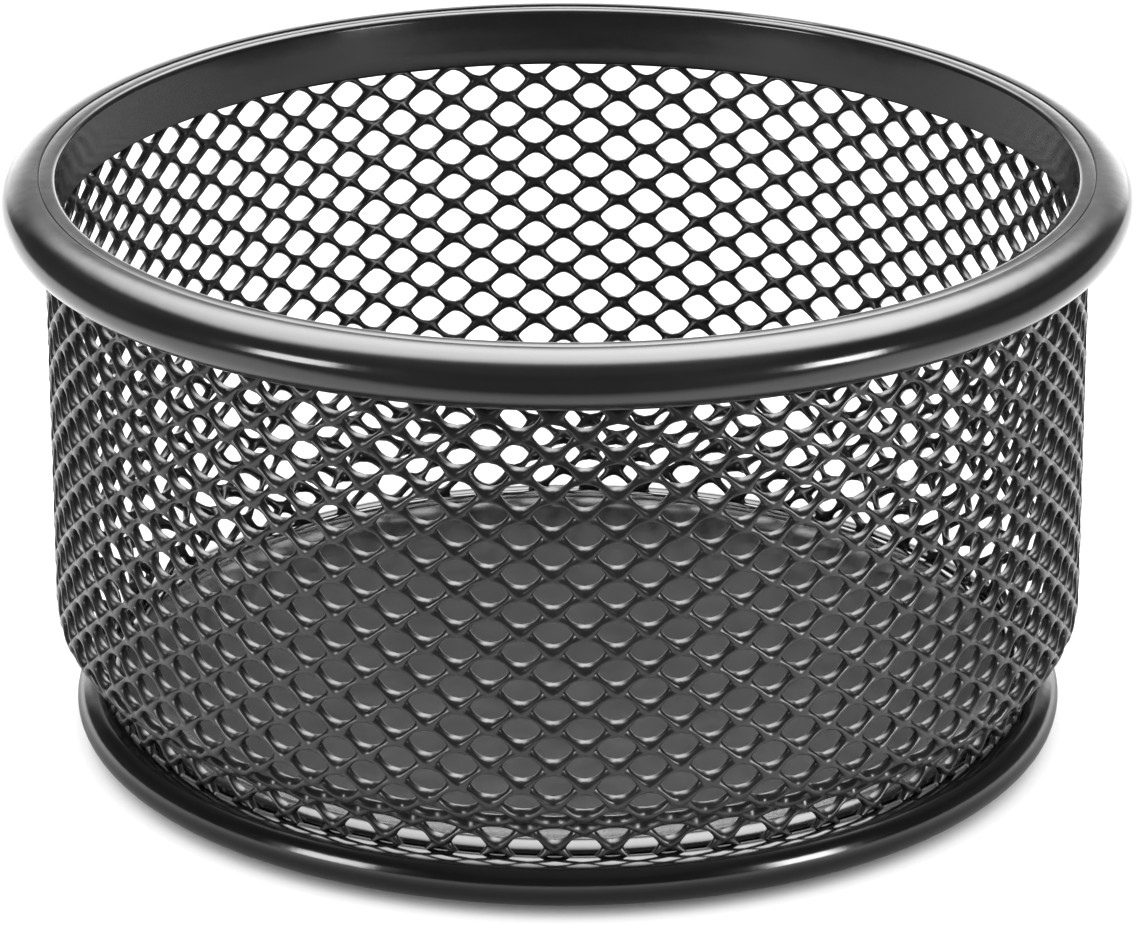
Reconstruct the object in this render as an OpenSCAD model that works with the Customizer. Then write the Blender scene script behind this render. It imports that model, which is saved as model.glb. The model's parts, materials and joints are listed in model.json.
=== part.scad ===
// Round mesh desk organizer on a low swivel.
// Z = 0 is the surface it stands on. The swivel axis is Z.

/* [Bowl] */
// Outer diameter of the rolled rim
bowl_d = 110; // [100:1:130]
// Height of the bowl, from the base ring's underside to the top of the rim
bowl_h = 57.3; // [50:0.1:80]
// Gap that the swivel leaves between the base ring and the surface
ring_gap = 0.8; // [0.7:0.1:1.5]

/* [Rim] */
// Radius of the bead's gently arched top
bead_top_r = 4.5; // [4.2:0.1:4.8]
// Radius of the bead's outer corner
bead_corner_r = 2.2; // [2:0.1:2.4]
// Radius of the bead's outer face, below the corner
bead_face_r = 3.3; // [3:0.1:3.5]
// Thickness of the sheet steel that the rim is rolled from
rim_sheet = 0.6; // [0.4:0.1:0.7]

/* [Mesh wall] */
// Thickness of the painted mesh
mesh_t = 0.8; // [0.6:0.1:0.8]
// Radius of the rounded shoulder at the bottom of the wall
shoulder_r = 5; // [4.5:0.5:6.5]
// How far the wall leans in below the shoulder, in degrees from upright
shoulder_lean = 50; // [40:1:55]
// Radius of the inward bend where the wall turns down again to the base ring
neck_bend_r = 1.2; // [1:0.1:1.5]
// How far the neck stands in from the wall
neck_inset = 4.1; // [4:0.1:4.5]

/* [Base] */
// Diameter of the round bar that makes the base ring
ring_bar_d = 4.7; // [4.6:0.1:4.8]
// Thickness of the floor plate
floor_t = 0.6; // [0.5:0.1:0.7]
// Height of the round ridge pressed along the floor plate's edge
ridge_h = 0.3; // [0.2:0.05:0.4]
// Radius of that ridge
ridge_r = 2.4; // [2.2:0.1:2.6]
// Radius of the bend where the plate turns down outside the ridge
floor_bend_r = 0.8; // [0.8:0.1:1]
// Where the turned-down edge ends, in degrees above level
floor_edge_angle = 25; // [20:1:35]

/* [Swivel] */
// Number of bearing balls
ball_count = 12; // [8:1:16]
// Diameter of a bearing ball
ball_d = 3; // [2.9:0.1:3.1]
// Diameter of the circle that the balls run on
ball_circle_d = 60; // [56:1:62]
// Thickness of the two pressed races
race_t = 0.8; // [0.7:0.1:0.8]
// Outer diameter of the lower race
lower_race_d = 84; // [83:1:85]
// Outer diameter of the upper race
upper_race_d = 72; // [68:1:76]
// Diameter of a rubber foot
foot_d = 7.4; // [6:0.1:7.6]

/* [Hidden] */
$fn = 96;
STEEL_PAINT = [0.09, 0.09, 0.10];
BARE_STEEL = [0.62, 0.63, 0.65];
NYLON = [0.86, 0.85, 0.80];
RUBBER = [0.05, 0.05, 0.05];

// Rim: the bead's arcs, each from its first angle down to its last, in degrees
bead_seam_angle = 93;
bead_corner_angle = 60;
bead_low_angle = -69;
bead_end_angle = -110;
bead_curl_r = 1.2;
rim_top = ring_gap + bowl_h;
corner_at = [bowl_d / 2 - bead_corner_r,
             rim_top - bead_top_r + (bead_top_r - bead_corner_r) * sin(bead_corner_angle)];
top_at = corner_at - (bead_top_r - bead_corner_r) * [cos(bead_corner_angle), sin(bead_corner_angle)];
face_at = corner_at - [bead_face_r - bead_corner_r, 0];
curl_at = face_at + (bead_face_r - bead_curl_r) * [cos(bead_low_angle), sin(bead_low_angle)];
rim_bottom = curl_at[1] - bead_curl_r;
seam_r = top_at[0] + bead_top_r * cos(bead_seam_angle);
rim_slot = 0.05;
fold_drop = 0.15;
fold_top = rim_top - fold_drop;

// Bowl: radii from the swivel axis and heights above the surface
mesh_r = seam_r - rim_sheet - rim_slot - mesh_t / 2;
mesh_top = fold_top - rim_sheet - rim_slot;
neck_r = mesh_r - neck_inset;
ring_r = neck_r + 0.5;
ring_top = ring_gap + ring_bar_d;
floor_top = ring_top + 0.5;
floor_r = neck_r - mesh_t / 2 - 0.2;
floor_flat = floor_top - ridge_h;
floor_under = floor_flat - floor_t;

// Shoulder and neck of the mesh wall: two arcs joined by a straight lean
shoulder_z = ring_gap + 13.3;
shoulder_end = [mesh_r - shoulder_r * (1 - cos(shoulder_lean)),
                shoulder_z - shoulder_r * sin(shoulder_lean)];
neck_start_r = neck_r + neck_bend_r * (1 - cos(shoulder_lean));
lean_drop = (shoulder_end[0] - neck_start_r) / tan(shoulder_lean);
neck_z = shoulder_end[1] - lean_drop - neck_bend_r * sin(shoulder_lean);

// Swivel stack, from the floor plate down to the feet
ball_fit = 0.05;
race_gap = 2;
groove_r = ball_d / 2 + ball_fit;
ball_z = floor_under - groove_r - race_t;
lower_web_top = ball_z - race_gap / 2;
foot_h = lower_web_top - race_t;
foot_circle_r = lower_race_d / 2 - foot_d / 2 - 0.3;
foot_count = 4;
cage_t = 1.2;
cage_w = 5.6;
rivet_r = 3;
rivet_bore_r = 2;
rivet_head_r = 5;
rivet_head_t = 0.4;
hub_fit = 0.05;
hub_dish = 0.6;
hub_dish_r = 7;
washer_t = 0.3;
washer_gap = 0.02;
hub_top = ball_z + race_gap / 2 - hub_dish + race_t;
washer_z = hub_top + washer_gap;
rivet_head_z = washer_z + washer_t + washer_gap;

BALLS = [for (i = [1 : ball_count]) str("bearing_ball_", i)];
FEET = [for (i = [1 : foot_count]) str("rubber_foot_", i)];

function arc_points(centre, r, from, to, steps) =
    [for (i = [0 : steps])
        let (a = from + (to - from) * i / steps)
        centre + r * [cos(a), sin(a)]];

// Outline of the bead's section, drawn a given depth inside its outer face
function bead_outline(depth, start, end) = concat(
    arc_points(top_at, bead_top_r - depth, start, bead_corner_angle, 6),
    arc_points(corner_at, bead_corner_r - depth, bead_corner_angle, 0, 8),
    arc_points(face_at, bead_face_r - depth, 0, bead_low_angle, 8),
    arc_points(curl_at, bead_curl_r - depth, bead_low_angle, end, 4));

function backwards(points) = [for (i = [len(points) - 1 : -1 : 0]) points[i]];

// Rolled sheet rim: a hollow bead outside, open along its curled edge, and a fold that pinches
// the mesh's top edge
module rim_hoop() {
    band_r = mesh_r - mesh_t / 2 - rim_slot;
    band_bottom = rim_bottom - 0.2;
    leg_bottom = rim_bottom + 1;
    band = [[band_r, mesh_top], [band_r, band_bottom],
            [band_r - rim_sheet, band_bottom], [band_r - rim_sheet, fold_top]];
    leg = [[seam_r, leg_bottom], [seam_r - rim_sheet, leg_bottom], [seam_r - rim_sheet, mesh_top]];
    color(STEEL_PAINT)
        rotate_extrude()
            polygon(concat(
                band,
                [[seam_r, fold_top]],
                bead_outline(0, bead_seam_angle, bead_end_angle),
                backwards(bead_outline(rim_sheet, bead_seam_angle, bead_end_angle)),
                leg));
}

// Mesh wall: straight sides, a round shoulder and a neck that meets the base ring
module mesh_wall() {
    half = mesh_t / 2;
    shoulder = [mesh_r - shoulder_r, shoulder_z];
    neck = [neck_r + neck_bend_r, neck_z];
    outside = concat(
        [[mesh_r + half, mesh_top]],
        arc_points(shoulder, shoulder_r + half, 0, -shoulder_lean, 8),
        arc_points(neck, neck_bend_r - half, 180 - shoulder_lean, 180, 4),
        [[neck_r + half, ring_top]]);
    inside = concat(
        [[neck_r - half, ring_top]],
        arc_points(neck, neck_bend_r + half, 180, 180 - shoulder_lean, 4),
        arc_points(shoulder, shoulder_r - half, -shoulder_lean, 0, 8),
        [[mesh_r - half, mesh_top]]);
    color(STEEL_PAINT)
        rotate_extrude()
            polygon(concat(outside, inside));
}

// Pressed floor plate: flat, with a round ridge near its edge, which turns down onto the base ring
module floor_plate() {
    turn = 57;
    bend = [floor_r - floor_bend_r, floor_top - ridge_r + (ridge_r - floor_bend_r) * sin(turn)];
    ridge = bend - (ridge_r - floor_bend_r) * [cos(turn), sin(turn)];
    foot = 180 - asin((ridge_r - ridge_h) / ridge_r);
    foot_under = 180 - asin((ridge_r - ridge_h - floor_t) / (ridge_r - floor_t));
    color(STEEL_PAINT)
        rotate_extrude()
            polygon(concat(
                [[0, floor_flat]],
                arc_points(ridge, ridge_r, foot, turn, 8),
                arc_points(bend, floor_bend_r, turn, floor_edge_angle, 4),
                arc_points(bend, floor_bend_r - floor_t, floor_edge_angle, turn, 2),
                arc_points(ridge, ridge_r - floor_t, turn, foot_under, 8),
                [[0, floor_under]]));
}

// Round bar that the mesh wall is crimped onto
module base_ring() {
    color(STEEL_PAINT)
        rotate_extrude()
            translate([ring_r, ring_gap + ring_bar_d / 2])
                circle(d = ring_bar_d);
}

// Outline of a pressed race, its groove open upwards, its web's top face at z = web_top
module race_outline(outer_r, web_top) {
    difference() {
        union() {
            translate([rivet_r, web_top - race_t])
                square([outer_r - rivet_r, race_t]);
            intersection() {
                translate([ball_circle_d / 2, ball_z])
                    circle(r = groove_r + race_t);
                translate([0, web_top - race_t - ball_d])
                    square([outer_r, race_t + ball_d]);
            }
        }
        translate([ball_circle_d / 2, ball_z])
            circle(r = groove_r);
    }
}

// Upper race, turned over and dished round the rivet. It is welded under the floor plate
module upper_race() {
    web_z = ball_z + race_gap / 2;
    bore_r = rivet_r + hub_fit;
    color(BARE_STEEL)
        rotate_extrude()
            difference() {
                union() {
                    translate([0, 2 * ball_z])
                        mirror([0, 1])
                            race_outline(upper_race_d / 2, lower_web_top);
                    translate([bore_r, web_z - hub_dish])
                        square([hub_dish_r - bore_r, race_t]);
                    translate([hub_dish_r - race_t, web_z - hub_dish])
                        square([race_t, hub_dish + race_t]);
                }
                translate([0, web_z - hub_dish + race_t])
                    square([hub_dish_r - race_t, 2 * hub_dish]);
                translate([0, web_z - hub_dish - 1])
                    square([bore_r, hub_dish + race_t + 2]);
            }
}

// Lower race, which stands on the feet
module lower_race() {
    color(BARE_STEEL)
        rotate_extrude()
            race_outline(lower_race_d / 2, lower_web_top);
}

// Flat ring that keeps the balls apart
module ball_cage() {
    color(NYLON)
        difference() {
            translate([0, 0, ball_z - cage_t / 2])
                difference() {
                    cylinder(h = cage_t, d = ball_circle_d + cage_w);
                    translate([0, 0, -1])
                        cylinder(h = cage_t + 2, d = ball_circle_d - cage_w);
                }
            for (i = [1 : ball_count])
                at_ball(i)
                    cylinder(h = cage_t + 2, r = groove_r, center = true, $fn = 48);
        }
}

module at_ball(i) {
    rotate([0, 0, 360 * (i - 1) / ball_count])
        translate([ball_circle_d / 2, 0, ball_z])
            children();
}

module bearing_ball(i) {
    color(BARE_STEEL)
        at_ball(i)
            sphere(d = ball_d, $fn = 48);
}

// Hollow rivet: fixed in the lower race, its upper head holds the upper race down
module pivot_rivet() {
    under = lower_web_top - race_t - rivet_head_t;
    top = rivet_head_z + rivet_head_t;
    color(BARE_STEEL)
        rotate_extrude()
            difference() {
                union() {
                    translate([0, under])
                        square([rivet_head_r, rivet_head_t]);
                    translate([0, under])
                        square([rivet_r, top - under]);
                    translate([0, rivet_head_z])
                        square([rivet_head_r, rivet_head_t]);
                }
                translate([-1, under - 1])
                    square([rivet_bore_r + 1, top - under + 2]);
            }
}

// Slip washer between the upper race and the rivet's head
module thrust_washer() {
    color(NYLON)
        translate([0, 0, washer_z])
            difference() {
                cylinder(h = washer_t, r = rivet_head_r);
                translate([0, 0, -1])
                    cylinder(h = washer_t + 2, r = rivet_r + hub_fit);
            }
}

// Rubber pad under the lower race, bevelled where it meets the surface
module rubber_foot(i) {
    bevel = 0.4;
    color(RUBBER)
        rotate([0, 0, 45 + 360 * (i - 1) / foot_count])
            translate([foot_circle_r, 0, 0])
                union() {
                    cylinder(h = bevel, r1 = foot_d / 2 - bevel, r2 = foot_d / 2);
                    translate([0, 0, bevel])
                        cylinder(h = foot_h - bevel, d = foot_d);
                }
}

rim_hoop();
mesh_wall();
floor_plate();
base_ring();
upper_race();
lower_race();
ball_cage();
pivot_rivet();
thrust_washer();
for (i = [1 : ball_count]) bearing_ball(i);
for (i = [1 : foot_count]) rubber_foot(i);
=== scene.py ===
"""Visual model of a round mesh desk organizer on a low swivel. Metres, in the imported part's frame."""
import json
import math

import bpy
import numpy as np
from mathutils import Matrix, Vector, noise


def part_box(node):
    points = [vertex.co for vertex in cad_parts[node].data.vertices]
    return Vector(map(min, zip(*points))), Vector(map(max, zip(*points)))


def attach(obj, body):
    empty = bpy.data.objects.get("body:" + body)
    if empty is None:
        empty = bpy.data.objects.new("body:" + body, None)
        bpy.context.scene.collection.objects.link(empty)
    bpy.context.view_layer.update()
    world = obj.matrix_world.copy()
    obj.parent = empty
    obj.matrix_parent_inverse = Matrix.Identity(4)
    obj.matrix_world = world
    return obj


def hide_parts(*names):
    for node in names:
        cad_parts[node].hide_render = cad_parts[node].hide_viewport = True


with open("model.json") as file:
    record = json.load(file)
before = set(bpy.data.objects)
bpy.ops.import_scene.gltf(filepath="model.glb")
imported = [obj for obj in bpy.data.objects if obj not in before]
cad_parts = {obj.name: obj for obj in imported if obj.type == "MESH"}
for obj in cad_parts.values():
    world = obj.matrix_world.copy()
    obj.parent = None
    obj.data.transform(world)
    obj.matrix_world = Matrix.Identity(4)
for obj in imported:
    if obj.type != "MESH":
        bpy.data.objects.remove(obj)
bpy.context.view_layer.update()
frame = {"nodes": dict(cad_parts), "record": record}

MM = 0.001
TAU = 2 * math.pi


# ---------------------------------------------------------------- sizes, the main ones from the imported part, the others given

def reach(node):
    """Outer radius, lowest z and highest z of a round node, in millimetres."""
    low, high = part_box(node)
    return max(-low.x, high.x) / MM, low.z / MM, high.z / MM


RIM_R, RIM_BOTTOM, RIM_TOP = reach("rim_hoop")
WALL_R, _, WALL_TOP = reach("mesh_wall")
RING_R, RING_BOTTOM, RING_TOP = reach("base_ring")
FLOOR_R, _, FLOOR_TOP = reach("floor_plate")

SHEET = 0.6             # sheet steel of the rim and the floor plate
MESH_T = 0.8            # thickness of the painted mesh
MESH_R = WALL_R - MESH_T / 2
SHOULDER_R = 5          # round shoulder at the bottom of the wall
SHOULDER_RISE = 13.3    # that shoulder's centre, above the bottom of the base ring
SHOULDER_LEAN = 50      # how far the wall leans in below the shoulder, in degrees
NECK_BEND_R = 1.2       # bend where the wall turns down again
NECK_INSET = 4.1        # how far in the neck stands from the straight wall

# The rim's bead: radii of its arched top, outer corner, outer face and curled-in edge, then where the top
# begins, where it meets the corner, where the face meets the curl and where the curl ends, in degrees
TOP_ARC, CORNER_ARC, FACE_ARC, CURL_ARC = 4.5, 2.2, 3.3, 1.2
SEAM_ANGLE, CORNER_ANGLE, LOW_ANGLE, END_ANGLE = 93, 60, -69, -110

# The rim's fold, which pinches the mesh's top edge
FOLD_DROP = 0.06        # its top, below the bead's
FOLD_BEND = 0.55        # its rounded inner edge
FOLD_SHOULDER = 0.15    # its rounded edge beside the groove
SLOT = 0.05             # clearance beside the mesh inside it
GROOVE = 0.10           # the line between the fold and the bead
GROOVE_DEPTH = 0.08
BAND_T = 0.3            # the band is pressed thin where it covers the mesh
BAND_DROP = 0.2         # how far the band's rounded lower lip reaches below the bead
SLOT_RISE = 0.1         # the slot's inner mouth, above the bead's lowest point
LEG_RISE = 1            # the lower end of the leg outside the mesh, above that point

# The floor plate's edge
RIDGE_R = 2.4           # round ridge inside it
RIDGE_RISE = 0.3        # that ridge's height over the flat
RIDGE_TURN = 57         # where the ridge passes into the bend outside it, in degrees
FLOOR_BEND_R = 0.8      # that bend
FLOOR_EDGE_ANGLE = 25   # where the bend ends, in degrees


# ---------------------------------------------------------------- mesh helpers

SHARP_EDGE = 40         # a bend sharper than this, in degrees, is shaded as an edge
ROUND_STEPS = 360       # facets round the rim and the ring
FLOOR_STEPS = 240       # facets round the floor plate
RIM_WOBBLE = 0.05       # unevenness of the rim and of the ring, in millimetres
RING_WOBBLE = 0.04


def new_object(name, verts, faces):
    """A smooth-shaded mesh object in the scene, its vertices in metres."""
    mesh = bpy.data.meshes.new(name)
    mesh.from_pydata([tuple(v) for v in verts], [], [tuple(f) for f in faces])
    mesh.validate()
    mesh.polygons.foreach_set("use_smooth", [True] * len(mesh.polygons))
    mesh.set_sharp_from_angle(angle=math.radians(SHARP_EDGE))
    mesh.update()
    piece = bpy.data.objects.new(name, mesh)
    bpy.context.scene.collection.objects.link(piece)
    return piece


def arc(centre, radius, start, end, steps):
    """Points on a circle from one angle to another, in degrees, both ends included."""
    angles = [math.radians(start + (end - start) * i / steps) for i in range(steps + 1)]
    return [(centre[0] + radius * math.cos(a), centre[1] + radius * math.sin(a)) for a in angles]


def lathe(name, outline, segments, closed=True, wobble=None):
    """Turns an outline of (radius, z) points, in millimetres, about Z. A point at radius 0 is one vertex."""
    verts, rows = [], []
    for r, z in outline:
        row = []
        for k in range(segments if r > 0 else 1):
            a = TAU * k / segments
            rr, zz = wobble(r, z, a) if wobble and r > 0 else (r, z)
            row.append(len(verts))
            verts.append((rr * math.cos(a) * MM, rr * math.sin(a) * MM, zz * MM))
        rows.append(row)
    faces = []
    next_rows = rows[1:] + rows[:1] if closed else rows[1:]
    for low, high in zip(rows, next_rows):
        for k in range(segments):
            n = (k + 1) % segments
            if len(low) == 1:
                faces.append((low[0], high[n], high[k]))
            elif len(high) == 1:
                faces.append((low[k], low[n], high[0]))
            else:
                faces.append((low[k], low[n], high[n], high[k]))
    return new_object(name, verts, faces)


# ---------------------------------------------------------------- materials

def new_material(name):
    """A node material with a Principled shader: the material, its tree and the shader."""
    material = bpy.data.materials.new(name)
    material.use_nodes = True
    tree = material.node_tree
    tree.nodes.clear()
    output = tree.nodes.new("ShaderNodeOutputMaterial")
    output.name = "Material Output"
    shader = tree.nodes.new("ShaderNodeBsdfPrincipled")
    tree.links.new(shader.outputs["BSDF"], output.inputs["Surface"])
    return material, tree, shader


def noise_node(tree, scale, detail=2.0, rough=0.5, stretch=(1, 1, 1)):
    """Noise in the object's own space, with its scale in waves to a metre."""
    coords = tree.nodes.new("ShaderNodeTexCoord")
    mapping = tree.nodes.new("ShaderNodeMapping")
    mapping.inputs["Scale"].default_value = stretch
    texture = tree.nodes.new("ShaderNodeTexNoise")
    texture.inputs["Scale"].default_value = scale
    texture.inputs["Detail"].default_value = detail
    texture.inputs["Roughness"].default_value = rough
    tree.links.new(coords.outputs["Object"], mapping.inputs["Vector"])
    tree.links.new(mapping.outputs["Vector"], texture.inputs["Vector"])
    return texture.outputs["Fac"]


def remap(tree, value, low, high, to_low, to_high):
    """Carries one range of a value over to another, and holds it at both ends."""
    node = tree.nodes.new("ShaderNodeMapRange")
    node.inputs["From Min"].default_value = low
    node.inputs["From Max"].default_value = high
    node.inputs["To Min"].default_value = to_low
    node.inputs["To Max"].default_value = to_high
    tree.links.new(value, node.inputs["Value"])
    return node.outputs["Result"]


def colour_ramp(tree, value, stops):
    """A colour for each value, from (place, colour) stops."""
    node = tree.nodes.new("ShaderNodeValToRGB")
    node.color_ramp.elements[0].position, node.color_ramp.elements[0].color = stops[0]
    node.color_ramp.elements[1].position, node.color_ramp.elements[1].color = stops[-1]
    for place, colour in stops[1:-1]:
        node.color_ramp.elements.new(place).color = colour
    tree.links.new(value, node.inputs["Fac"])
    return node.outputs["Color"]


def bump(tree, height, strength, distance, base=None):
    """The normal of a surface with this height on it, over an earlier bump if there is one."""
    node = tree.nodes.new("ShaderNodeBump")
    node.inputs["Strength"].default_value = strength
    node.inputs["Distance"].default_value = distance
    tree.links.new(height, node.inputs["Height"])
    if base is not None:
        tree.links.new(base, node.inputs["Normal"])
    return node.outputs["Normal"]


def grey(level, tint=(1.0, 1.0, 1.0)):
    """An opaque colour from one level, tinted if wanted."""
    return (level * tint[0], level * tint[1], level * tint[2], 1.0)


NOISE_LOW, NOISE_HIGH = 0.3, 0.7        # the range that noise mostly stays within


def shifting_colour(tree, scale, detail, dark, light):
    """A colour that wanders between two shades."""
    return colour_ramp(tree, noise_node(tree, scale, detail), [(NOISE_LOW, dark), (NOISE_HIGH, light)])


def shifting_value(tree, scale, detail, low, high):
    """A value that wanders between two limits."""
    return remap(tree, noise_node(tree, scale, detail), NOISE_LOW, NOISE_HIGH, low, high)


def black_paint(name, tone, rough, peel, speck):
    """Baked black enamel: a faint orange-peel skin, dust specks and a gloss that varies a little."""
    material, tree, shader = new_material(name)
    dark, light = grey(tone * 0.8), grey(tone * 1.25, (1.0, 1.0, 1.04))
    tree.links.new(shifting_colour(tree, 60.0, 4.0, dark, light), shader.inputs["Base Color"])
    tree.links.new(shifting_value(tree, 260.0, 3.0, rough * 0.85, rough * 1.2), shader.inputs["Roughness"])
    skin = bump(tree, noise_node(tree, 420.0, 2.0), peel, 0.00025)
    skin = bump(tree, noise_node(tree, 2600.0, 3.0, 0.6), speck, 0.00006, skin)
    tree.links.new(skin, shader.inputs["Normal"])
    shader.inputs["IOR"].default_value = 1.5
    return material


def bare_metal(name, colour, rough, grain):
    """Plated steel: fine grain, a cloudy tint and small scratches."""
    material, tree, shader = new_material(name)
    dull = tuple(c * 0.86 for c in colour) + (1.0,)
    clear = tuple(min(1.0, c * 1.08) for c in colour) + (1.0,)
    tree.links.new(shifting_colour(tree, 90.0, 4.0, dull, clear), shader.inputs["Base Color"])
    tree.links.new(shifting_value(tree, 300.0, 4.0, rough * 0.8, rough * 1.3), shader.inputs["Roughness"])
    skin = bump(tree, noise_node(tree, grain, 3.0, 0.6), 0.12, 0.0001)
    skin = bump(tree, noise_node(tree, 260.0, 2.0, 0.5, (1, 14, 1)), 0.10, 0.00005, skin)
    tree.links.new(skin, shader.inputs["Normal"])
    shader.inputs["Metallic"].default_value = 1.0
    return material


def moulded(name, colour, rough, glow):
    """Moulded plastic or rubber: fine spark texture, faint mottling and a little light through it."""
    material, tree, shader = new_material(name)
    deep = tuple(c * 0.88 for c in colour) + (1.0,)
    pale = tuple(min(1.0, c * 1.1) for c in colour) + (1.0,)
    tree.links.new(shifting_colour(tree, 220.0, 3.0, deep, pale), shader.inputs["Base Color"])
    tree.links.new(shifting_value(tree, 500.0, 3.0, rough * 0.85, rough * 1.15), shader.inputs["Roughness"])
    tree.links.new(bump(tree, noise_node(tree, 3200.0, 3.0, 0.6), 0.2, 0.00008), shader.inputs["Normal"])
    shader.inputs["Subsurface Weight"].default_value = glow
    shader.inputs["Subsurface Scale"].default_value = 0.001
    return material


# ---------------------------------------------------------------- pieces

def on_circle(centre, radius, degrees):
    """The point on a circle at an angle."""
    return (centre[0] + radius * math.cos(math.radians(degrees)),
            centre[1] + radius * math.sin(math.radians(degrees)))


def bead_arcs(depth):
    """The bead's outline from its seam round to its curled edge, a given depth inside its outer face."""
    step = TOP_ARC - CORNER_ARC
    corner = (RIM_R - CORNER_ARC, RIM_TOP - TOP_ARC + step * math.sin(math.radians(CORNER_ANGLE)))
    top = on_circle(corner, -step, CORNER_ANGLE)
    face = (corner[0] - FACE_ARC + CORNER_ARC, corner[1])
    curl = on_circle(face, FACE_ARC - CURL_ARC, LOW_ANGLE)
    return (arc(top, TOP_ARC - depth, SEAM_ANGLE, CORNER_ANGLE, 10)
            + arc(corner, CORNER_ARC - depth, CORNER_ANGLE, 0, 12)[1:]
            + arc(face, FACE_ARC - depth, 0, LOW_ANGLE, 14)[1:]
            + arc(curl, CURL_ARC - depth, LOW_ANGLE, END_ANGLE, 6)[1:])


def rim_outline():
    """Section of the rolled rim: a hollow bead outside, and a fold that pinches the mesh's top edge."""
    bead = bead_arcs(0)
    inside = bead_arcs(SHEET)
    seam = bead[0][0]
    fold_top = RIM_TOP - FOLD_DROP
    slot_in, slot_out = MESH_R - MESH_T / 2 - SLOT, MESH_R + MESH_T / 2 + SLOT
    band_in = slot_in - BAND_T
    lip = SHEET / 2
    leg_end = RIM_BOTTOM + LEG_RISE
    points = [(slot_in, fold_top - SHEET), (slot_in, RIM_BOTTOM + SLOT_RISE)]
    points += arc((band_in + lip, RIM_BOTTOM - BAND_DROP + lip), lip, -20, -180, 8)
    points += [(band_in, RIM_BOTTOM + (fold_top - FOLD_BEND - RIM_BOTTOM) * k / 3) for k in (1, 2)]
    points += arc((band_in + FOLD_BEND, fold_top - FOLD_BEND), FOLD_BEND, 180, 90, 10)
    points += arc((seam - GROOVE - FOLD_SHOULDER, fold_top - FOLD_SHOULDER), FOLD_SHOULDER, 80, 10, 3)
    points += [(seam - GROOVE * share, fold_top - GROOVE_DEPTH) for share in (0.7, 0.3)]
    points += bead + inside[::-1]
    points += [(seam, leg_end), (slot_out, leg_end), (slot_out, fold_top - SHEET)]
    return points


def unevenness(angle, waves, seed):
    """A slow wave round a part, from -1 to 1, the same at the start and the end of the turn."""
    return noise.noise(Vector((waves * math.cos(angle), waves * math.sin(angle), seed)))


def make_rim():
    """The rolled rim, a hair out of round and out of flat."""
    def wobble(r, z, a):
        return (r + RIM_WOBBLE * unevenness(a, waves=3, seed=1.7),
                z + RIM_WOBBLE * unevenness(a, waves=2, seed=8.1))
    return lathe("rim", rim_outline(), ROUND_STEPS, wobble=wobble)


def make_base_ring():
    """The round bar under the wall, a hair out of round."""
    bar = (RING_TOP - RING_BOTTOM) / 2

    def wobble(r, z, a):
        return r + RING_WOBBLE * unevenness(a, waves=3, seed=4.3), z
    section = arc((RING_R - bar, RING_BOTTOM + bar), bar, 0, 360, 48)[:-1]
    return lathe("base_ring_bar", section, ROUND_STEPS, wobble=wobble)


def make_floor_plate():
    """Flat disc with a round ridge near its edge, which turns down onto the base ring."""
    inner = RIDGE_R - FLOOR_BEND_R
    bend = (FLOOR_R - FLOOR_BEND_R, FLOOR_TOP - RIDGE_R + inner * math.sin(math.radians(RIDGE_TURN)))
    ridge = on_circle(bend, -inner, RIDGE_TURN)
    foot = 180 - math.degrees(math.asin(1 - RIDGE_RISE / RIDGE_R))
    foot_under = 180 - math.degrees(math.asin((RIDGE_R - RIDGE_RISE - SHEET) / (RIDGE_R - SHEET)))
    flat = FLOOR_TOP - RIDGE_RISE
    edge = on_circle(ridge, RIDGE_R, foot)[0]
    points = [(edge * k / 12, flat) for k in range(12)]
    points += arc(ridge, RIDGE_R, foot, RIDGE_TURN, 20)
    points += arc(bend, FLOOR_BEND_R, RIDGE_TURN, FLOOR_EDGE_ANGLE, 8)[1:]
    points += arc(bend, FLOOR_BEND_R - SHEET, FLOOR_EDGE_ANGLE, RIDGE_TURN, 5)
    points += arc(ridge, RIDGE_R - SHEET, RIDGE_TURN, foot_under, 12)[1:]
    points += [(FLOOR_R * 0.5, flat - SHEET), (0, flat - SHEET)]
    return lathe("floor_disc", points, FLOOR_STEPS, closed=False)


# ---- the expanded-metal wall

CELLS_ROUND = 54
PITCH = TAU * MESH_R / CELLS_ROUND      # width of one opening plus one bond, round the wall
STRAND_T = 1.05         # depth of a painted strand, through the wall, away from the rim and the ring
ROW_PITCH = 3.85        # height of one opening plus one bond
HOLE_W = 3.6            # width of an opening
HOLE_H = 2.7            # height of an opening
HOLE_ROUNDING = (1.75, 1.35)    # how full an opening's sides and its top are; 2 and 2 is an ellipse
HOLE_SIDES = 24         # facets round an opening
SECTION_STEPS = 10      # facets across a strand
SECTION_POWER = 2.4     # how square a strand's section is; 2 is round
RING_GRIP = 2.0         # how far the wall reaches down into the base ring
WELD_STEPS = 500        # points in the same one of this many steps to a millimetre are one vertex
BOND_TILT = 0.10        # how far a bond's upper edge stands out and its lower edge in
LEDGE_SLOPE = 0.8       # how far the bond's top edge slopes down outwards, as part of its depth
TILT_FADE = 1.5         # length over which tilt, slope and extra depth fade out at the rim and the ring
LATTICE_TURN = 0.17     # turns the pattern round, in cells
LATTICE_DROP = -0.05    # lowers the pattern, in half rows
LATTICE_DRIFT = -0.10   # how far the pattern drifts between back and front, in cells
LATTICE_SLANT = 0.33    # how much lower the pattern's rows run at the back, in millimetres


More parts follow.
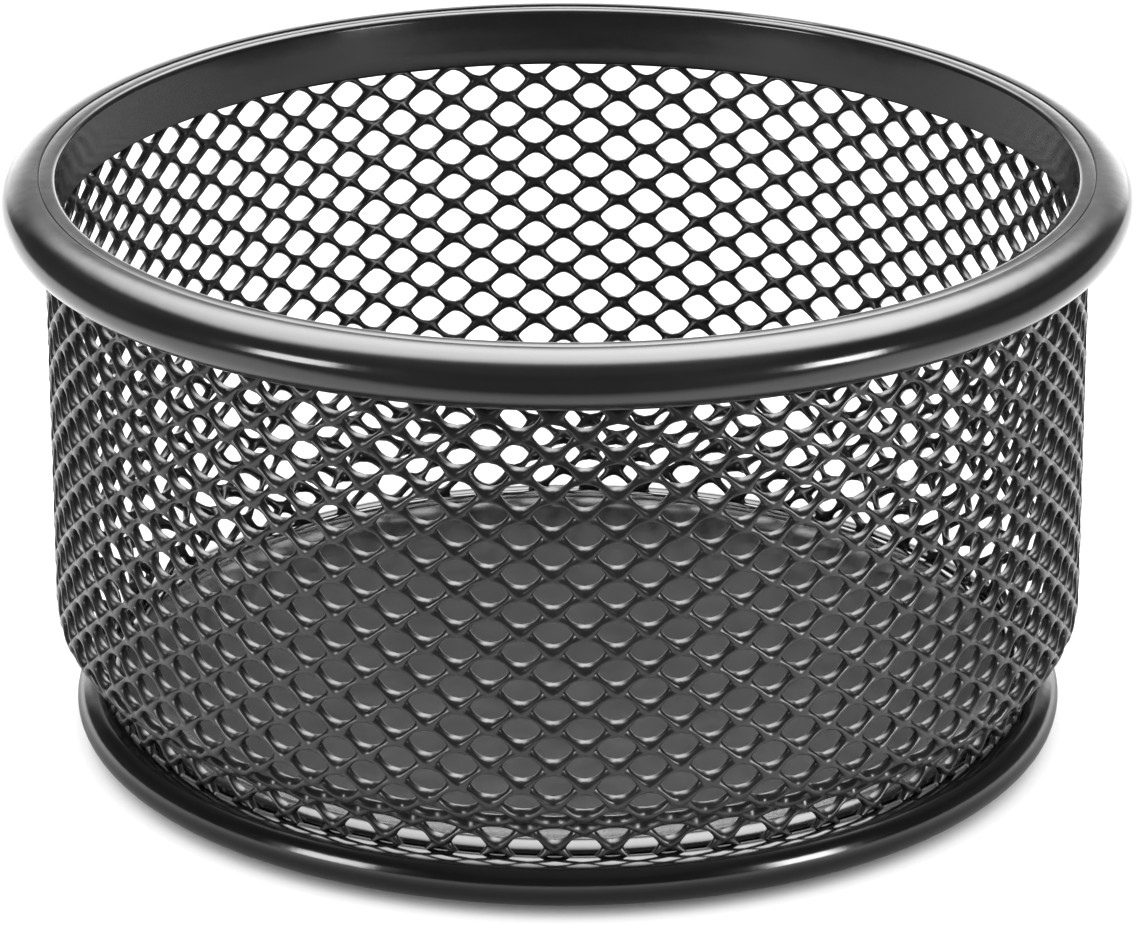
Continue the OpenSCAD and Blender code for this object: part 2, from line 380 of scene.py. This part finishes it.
def wall_path():
    """Centreline of the wall from inside the rim down into the base ring, as (radius, z) points."""
    shoulder = (MESH_R - SHOULDER_R, RING_BOTTOM + SHOULDER_RISE)
    lean = math.radians(SHOULDER_LEAN)
    end_r, end_z = on_circle(shoulder, SHOULDER_R, -SHOULDER_LEAN)
    neck_r = MESH_R - NECK_INSET
    neck_start_r = neck_r + NECK_BEND_R * (1 - math.cos(lean))
    neck_z = end_z - (end_r - neck_start_r) / math.tan(lean) - NECK_BEND_R * math.sin(lean)
    neck = (neck_r + NECK_BEND_R, neck_z)
    points = [(MESH_R, WALL_TOP)]
    points += arc(shoulder, SHOULDER_R, 0, -SHOULDER_LEAN, 24)
    points += arc(neck, NECK_BEND_R, 180 - SHOULDER_LEAN, 180, 10)
    points += [(neck_r, RING_TOP - RING_GRIP)]
    return np.array(points)


def path_lengths(path):
    """Arc length from the start of a path to each of its points."""
    return np.concatenate([[0], np.cumsum(np.linalg.norm(np.diff(path, axis=0), axis=1))])


def on_path(path, depth):
    """Point and outward normal of the wall at each arc length below its top."""
    lengths = path_lengths(path)
    r = np.interp(depth, lengths, path[:, 0])
    z = np.interp(depth, lengths, path[:, 1])
    tangents = np.diff(path, axis=0) / np.diff(lengths)[:, None]
    middle = (lengths[:-1] + lengths[1:]) / 2
    tr = np.interp(depth, middle, tangents[:, 0])
    tz = np.interp(depth, middle, tangents[:, 1])
    size = np.hypot(tr, tz)
    return r, z, -tz / size, tr / size


def opening_outline():
    """Rhombus round one cell and the rounded opening inside it, point for point, in millimetres."""
    quarter = HOLE_SIDES // 4
    corners = [(PITCH / 2, 0), (0, ROW_PITCH / 2), (-PITCH / 2, 0), (0, -ROW_PITCH / 2), (PITCH / 2, 0)]
    cell, hole = [], []
    for side in range(4):
        for k in range(quarter):
            t = k / quarter
            x = corners[side][0] * (1 - t) + corners[side + 1][0] * t
            y = corners[side][1] * (1 - t) + corners[side + 1][1] * t
            cell.append((x, y))
            a = math.atan2(y / ROW_PITCH, x / PITCH)
            c, s = math.cos(a), math.sin(a)
            hole.append((math.copysign(abs(c) ** (2 / HOLE_ROUNDING[0]), c) * HOLE_W / 2,
                         math.copysign(abs(s) ** (2 / HOLE_ROUNDING[1]), s) * HOLE_H / 2))
    return np.array(cell), np.array(hole)


def one_cell():
    """Strands round one opening: for each point its place along and down the wall, its depth through the
    wall, how far a tilted bond moves it out, and how far a sloped ledge moves it down."""
    cell, hole = opening_outline()
    phi = np.linspace(0, math.pi, SECTION_STEPS + 1)
    reach_in = np.abs(np.sin(phi)) ** (2 / SECTION_POWER)
    depth = np.sign(np.cos(phi)) * np.abs(np.cos(phi)) ** (2 / SECTION_POWER) * MESH_T / 2
    depth[SECTION_STEPS // 2] = 0       # the middle, free of rounding error
    points = []
    for k in range(SECTION_STEPS + 1):
        ring = cell + (hole - cell) * reach_in[k]
        turn_x, turn_y = TAU * ring[:, 0] / PITCH, TAU * ring[:, 1] / ROW_PITCH
        tilt = BOND_TILT * np.sin(turn_y) * np.cos(turn_x)
        slope = LEDGE_SLOPE * STRAND_T / MESH_T * depth[k] * np.maximum(0, -np.cos(turn_x) * np.cos(turn_y))
        points.append(np.column_stack([ring, np.full(len(ring), depth[k]), tilt, slope]))
    n = HOLE_SIDES
    quads = []
    for k in range(SECTION_STEPS):
        for s in range(n):
            t = (s + 1) % n
            quads.append((k * n + s, k * n + t, (k + 1) * n + t, (k + 1) * n + s))
    return np.concatenate(points), np.array(quads)


def flat_lattice(total):
    """The whole wall laid flat: one cell at every place of the staggered rows, with shared points welded."""
    unit, quads = one_cell()
    verts, faces = [], []
    for j in range(int(total / (ROW_PITCH / 2)) + 1):
        down = (j + 0.5 + LATTICE_DROP) * ROW_PITCH / 2
        if down < 0 or down > total:
            continue
        for i in range(CELLS_ROUND):
            along = (i + (j % 2) / 2) * PITCH
            faces.append(quads + len(verts) * len(unit))
            verts.append(unit + np.array([along, down, 0, 0, 0]))
    verts = np.concatenate(verts)
    faces = np.concatenate(faces)
    whole = PITCH * CELLS_ROUND
    key = np.column_stack([np.round((verts[:, 0] % whole) * WELD_STEPS) % round(whole * WELD_STEPS),
                           np.round(verts[:, 1] * WELD_STEPS), np.round(verts[:, 2] * WELD_STEPS)])
    _, first, inverse = np.unique(key, axis=0, return_index=True, return_inverse=True)
    return verts[first], np.asarray(inverse).reshape(-1)[faces]


def make_mesh_wall():
    """The expanded-metal wall: the flat lattice wrapped round the wall's path."""
    path = wall_path()
    total = path_lengths(path)[-1]
    verts, faces = flat_lattice(total)
    along, down, depth, tilt, slope = verts.T
    angle = (along / PITCH + LATTICE_TURN) * TAU / CELLS_ROUND
    angle = angle + LATTICE_DRIFT * np.sin(angle) * TAU / CELLS_ROUND
    below_rim, above_ring = WALL_TOP - RIM_BOTTOM, total - RING_GRIP
    level = down + LATTICE_SLANT * np.sin(angle)
    fade = np.clip(np.minimum(level - below_rim, above_ring - level) / TILT_FADE, 0, 1)
    r, z, nr, nz = on_path(path, np.clip(level + slope * fade, 0, total))
    out = depth * (1 + (STRAND_T / MESH_T - 1) * fade) + tilt * fade
    r, z = r + nr * out, z + nz * out
    points = np.column_stack([r * np.cos(angle), r * np.sin(angle), z]) * MM
    return new_object("expanded_mesh", points, faces)


# ---------------------------------------------------------------- stage, light and camera

# Millimetres, with heights above the bottom of the base ring
CAMERA_LENS = 192.62
CAMERA_DISTANCE = 560.96        # from the axis, straight in front
CAMERA_HEIGHT = 247.67
CAMERA_AIM = 27.5       # height of the point on the axis that it looks at
CAMERA_SHIFT = (0.00087, -0.01501)      # in frame widths
CAMERA_ROLL = -0.084    # in degrees


def make_camera():
    """A long lens in front of the object, a little above it."""
    camera = bpy.data.cameras.new("camera")
    camera.sensor_width = 36
    camera.lens = CAMERA_LENS
    camera.shift_x, camera.shift_y = CAMERA_SHIFT
    camera.clip_start = 0.01
    holder = bpy.data.objects.new("camera", camera)
    bpy.context.scene.collection.objects.link(holder)
    eye = Vector((0, -CAMERA_DISTANCE, CAMERA_HEIGHT + RING_BOTTOM)) * MM
    target = Vector((0, 0, CAMERA_AIM + RING_BOTTOM)) * MM
    turn = (target - eye).to_track_quat("-Z", "Y").to_matrix().to_4x4()
    roll = Matrix.Rotation(math.radians(CAMERA_ROLL), 4, "Z")
    holder.matrix_world = Matrix.Translation(eye) @ turn @ roll
    bpy.context.scene.camera = holder


def square_sheet(name, half, height):
    """A flat square card round the Z axis, in metres: half its side and its height."""
    return new_object(name, [(-half, -half, height), (half, -half, height), (half, half, height),
                             (-half, half, height)], [(0, 1, 2, 3)])


FLOOR_HALF = 6.0        # half the floor's side, in metres


def make_floor():
    """The pale matt floor, far larger than the view."""
    floor = square_sheet("floor", FLOOR_HALF, 0.0)
    material, tree, shader = new_material("floor_white")
    tree.links.new(colour_ramp(tree, noise_node(tree, 3.0), [(0.0, grey(0.80)), (1.0, grey(0.82))]),
                   shader.inputs["Base Color"])
    shader.inputs["Roughness"].default_value = 0.9
    shader.inputs["Specular IOR Level"].default_value = 0.1
    floor.data.materials.append(material)


def only_in_gloss(thing):
    """Lets only reflections see this light or card."""
    for ray in ("camera", "diffuse", "transmission", "volume_scatter", "shadow"):
        setattr(thing, "visible_" + ray, False)


def calculate(tree, operation, *values):
    """A maths node whose inputs are sockets or plain numbers."""
    node = tree.nodes.new("ShaderNodeMath")
    node.operation = operation
    for socket, value in zip(node.inputs, values):
        if isinstance(value, (int, float)):
            socket.default_value = value
        else:
            tree.links.new(value, socket)
    return node.outputs["Value"]


def axes(tree):
    """The sockets of the object's own x, y and z, in metres."""
    coords = tree.nodes.new("ShaderNodeTexCoord")
    split = tree.nodes.new("ShaderNodeSeparateXYZ")
    tree.links.new(coords.outputs["Object"], split.inputs["Vector"])
    return [split.outputs[axis] for axis in "XYZ"]


def level_ramp(tree, value, stops):
    """A ramp of plain levels, from (place, level) stops."""
    return colour_ramp(tree, value, [(place, grey(level)) for place, level in stops])


DOME_R = 2.0            # metres
DOME_GLOW = 14.0        # the dome's brightest radiance
DOME_DARK = 0.05        # its least radiance
# The dome's level, as (place, level) stops, which are multiplied together:
# by height over the dome's radius; by y over height; by |x| over height, or over depth where that is more
DOME_RISE = [(0.0, 0.28), (0.19, 0.22), (0.29, 0.10), (0.38, 0.03), (0.46, 0.11),
             (0.54, 0.36), (0.68, 0.67), (0.8, 0.83), (0.95, 0.94)]
DOME_BACK = [(0.17, 0.015), (0.33, 0.05), (0.43, 0.13), (0.5, 0.42), (0.6, 0.76), (0.73, 1.0)]
DOME_SIDE = [(0.43, 1.0), (0.62, 0.8), (0.72, 0.55), (0.8, 0.25), (0.95, 0.02)]
DOME_LEAN = (0.64, 1.24)        # the levels at its left and right ends
DOME_BACK_SPAN = 0.6    # y over height at both ends of DOME_BACK
DOME_DEPTH = 0.8        # depth, as a share of y
DOME_LOWEST = 0.01      # metres; heights below this count as this
DOME_STEPS = 96         # facets round the dome


def make_reflection_dome():
    """What the gloss mirrors: a wide soft box overhead and behind, dark between that and a pale horizon."""
    section = arc((0, 0), DOME_R / MM, -3, 87, 30) + [(0, DOME_R / MM)]
    dome = lathe("reflection_dome", section, DOME_STEPS, closed=False)
    material, tree, shader = new_material("reflection_glow")
    x, y, z = axes(tree)
    high = calculate(tree, "MAXIMUM", z, DOME_LOWEST)
    rise = level_ramp(tree, calculate(tree, "DIVIDE", z, DOME_R), DOME_RISE)
    back = remap(tree, calculate(tree, "DIVIDE", y, high), -DOME_BACK_SPAN, DOME_BACK_SPAN, 0, 1)
    back = level_ramp(tree, back, DOME_BACK)
    reach_side = calculate(tree, "MAXIMUM", high, calculate(tree, "MULTIPLY", y, DOME_DEPTH))
    side = calculate(tree, "DIVIDE", calculate(tree, "ABSOLUTE", x), reach_side)
    side = level_ramp(tree, side, DOME_SIDE)
    lean = remap(tree, x, -DOME_R, DOME_R, *DOME_LEAN)
    up_and_back = calculate(tree, "MULTIPLY", rise, back)
    glow = calculate(tree, "MULTIPLY", up_and_back, calculate(tree, "MULTIPLY", side, lean))
    emission = tree.nodes.new("ShaderNodeEmission")
    tree.links.new(calculate(tree, "MULTIPLY_ADD", glow, DOME_GLOW, DOME_DARK), emission.inputs["Strength"])
    tree.links.new(emission.outputs["Emission"], tree.nodes["Material Output"].inputs["Surface"])
    tree.nodes.remove(shader)
    dome.data.materials.append(material)
    only_in_gloss(dome)


# The dark card lets the floor be mirrored only near the object. Metres.
CARD_HALF = 1.9                 # half its side
CARD_HEIGHT = 0.0006
CARD_DARK = 0.1                 # radiance
CARD_SIDE = (0.125, 0.17)       # |x| where it begins and where it is full; the gap widens behind the object
CARD_WIDEN = 0.8
CARD_FRONT = (-0.112, -0.08)    # y where it ends being full and where it is gone
CARD_FOOT_SHADE = (0.051, 0.062, 0.3)        # radii round the foot where the card paints shade over the mirrored floor, and how much of the floor still shows there


def make_dark_surround():
    """The floor is mirrored bright only near the object; past that the gloss sees a dark room, and round the
    foot the card paints shade over the mirrored floor.
    """
    card = square_sheet("dark_surround", CARD_HALF, CARD_HEIGHT)
    material, tree, shader = new_material("dark_surround_card")
    x, y, z = axes(tree)
    behind = calculate(tree, "MULTIPLY", calculate(tree, "MAXIMUM", y, 0), CARD_WIDEN)
    beside = calculate(tree, "SUBTRACT", calculate(tree, "ABSOLUTE", x), behind)
    near = calculate(tree, "MULTIPLY", remap(tree, beside, *CARD_SIDE, 1, 0),
                     remap(tree, y, *CARD_FRONT, 0, 1))
    squared = calculate(tree, "MULTIPLY_ADD", x, x, calculate(tree, "MULTIPLY", y, y))
    # Round the foot the card paints shade over the mirrored floor
    shade_in, shade_out, shade = CARD_FOOT_SHADE
    from_axis = calculate(tree, "SQRT", squared)
    near = calculate(tree, "MULTIPLY", near, remap(tree, from_axis, shade_in, shade_out, shade, 1))
    clear = tree.nodes.new("ShaderNodeBsdfTransparent")
    dark = tree.nodes.new("ShaderNodeEmission")
    dark.inputs["Strength"].default_value = CARD_DARK
    mix = tree.nodes.new("ShaderNodeMixShader")
    tree.links.new(near, mix.inputs["Fac"])
    tree.links.new(dark.outputs["Emission"], mix.inputs[1])
    tree.links.new(clear.outputs["BSDF"], mix.inputs[2])
    tree.links.new(mix.outputs["Shader"], tree.nodes["Material Output"].inputs["Surface"])
    tree.nodes.remove(shader)
    card.data.materials.append(material)
    only_in_gloss(card)


def add_glow(name, azimuth, distance, low, high, width, radiance):
    """An upright light that only the gloss sees. Azimuth: degrees from -Y towards +X. Sizes: metres."""
    light = bpy.data.lights.new(name, "AREA")
    light.shape = "RECTANGLE"
    light.size, light.size_y = width, high - low
    light.energy = radiance * math.pi * width * (high - low)
    holder = bpy.data.objects.new(name, light)
    bpy.context.scene.collection.objects.link(holder)
    a = math.radians(azimuth)
    place = Vector((math.sin(a) * distance, -math.cos(a) * distance, (low + high) / 2))
    towards = Vector((-place.x, -place.y, 0))
    holder.matrix_world = Matrix.Translation(place) @ towards.to_track_quat("-Z", "Y").to_matrix().to_4x4()
    only_in_gloss(holder)


ROOM_LIGHT = 2.4        # radiance of the room, for all but camera rays


def make_world():
    """Even studio light from all round. Camera rays see plain white."""
    world = bpy.data.worlds.new("studio")
    bpy.context.scene.world = world
    world.use_nodes = True
    tree = world.node_tree
    tree.nodes.clear()
    output = tree.nodes.new("ShaderNodeOutputWorld")
    bright = tree.nodes.new("ShaderNodeBackground")
    bright.inputs["Strength"].default_value = ROOM_LIGHT
    white = tree.nodes.new("ShaderNodeBackground")
    for node in (bright, white):
        node.inputs["Color"].default_value = grey(1.0)
    path = tree.nodes.new("ShaderNodeLightPath")
    mix = tree.nodes.new("ShaderNodeMixShader")
    tree.links.new(path.outputs["Is Camera Ray"], mix.inputs["Fac"])
    tree.links.new(bright.outputs["Background"], mix.inputs[1])
    tree.links.new(white.outputs["Background"], mix.inputs[2])
    tree.links.new(mix.outputs["Shader"], output.inputs["Surface"])


# ---------------------------------------------------------------- build

bpy.context.scene.view_settings.view_transform = "Standard"
make_camera()
make_world()
make_floor()
make_reflection_dome()
make_dark_surround()
add_glow("glow_left", azimuth=-51.5, distance=0.55, low=0.001, high=0.190, width=0.165, radiance=17.0)
add_glow("glow_right", azimuth=49.0, distance=0.25, low=0.001, high=0.074, width=0.062, radiance=26.0)

FINISHES = {
    "black_gloss_paint": black_paint("black_gloss_paint_skin", tone=0.007, rough=0.15, peel=0.06, speck=0.03),
    "black_mesh_paint": black_paint("black_mesh_paint_skin", tone=0.007, rough=0.30, peel=0.10, speck=0.06),
    "black_satin_paint": black_paint("black_satin_paint_skin", tone=0.007, rough=0.16, peel=0.10, speck=0.05),
    "zinc_plated_steel": bare_metal("zinc_plated_steel_skin", (0.58, 0.60, 0.64), rough=0.32, grain=900.0),
    "rivet_steel": bare_metal("rivet_steel_skin", (0.62, 0.62, 0.63), rough=0.24, grain=700.0),
    "ball_steel": bare_metal("ball_steel_skin", (0.74, 0.74, 0.76), rough=0.08, grain=400.0),
    "nylon": moulded("nylon_skin", (0.74, 0.72, 0.64), rough=0.45, glow=0.15),
    "foot_rubber": moulded("foot_rubber_skin", (0.022, 0.022, 0.023), rough=0.75, glow=0.0),
}

# The base ring gets a darker copy of the rim's gloss paint: painted shade, as the ring sits low under the
# bowl
RING_SHADED_PAINT = black_paint("base_ring_shaded_skin", tone=0.003, rough=0.15, peel=0.06, speck=0.03)

# What makes each piece, the node that it stands for, its material slot and its paint
PIECES = [
    (make_rim, "rim_hoop", "black_gloss_paint", FINISHES["black_gloss_paint"]),
    (make_mesh_wall, "mesh_wall", "black_mesh_paint", FINISHES["black_mesh_paint"]),
    (make_floor_plate, "floor_plate", "black_satin_paint", FINISHES["black_satin_paint"]),
    # The base ring takes the darker copy of the gloss paint, which paints shade on it
    (make_base_ring, "base_ring", "black_gloss_paint", RING_SHADED_PAINT),
]
for make, node, finish, paint in PIECES:
    piece = make()
    piece.data.materials.append(paint)
    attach(piece, "bowl")
    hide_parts(node)

# The swivel's CAD parts keep their shapes and get their materials
replaced = {node for _, node, _, _ in PIECES}
for subpart in frame["record"]["subparts"]:
    if subpart["node"] not in replaced:
        for place in frame["nodes"][subpart["node"]].material_slots:
            place.material = FINISHES[subpart["material_slot"]]
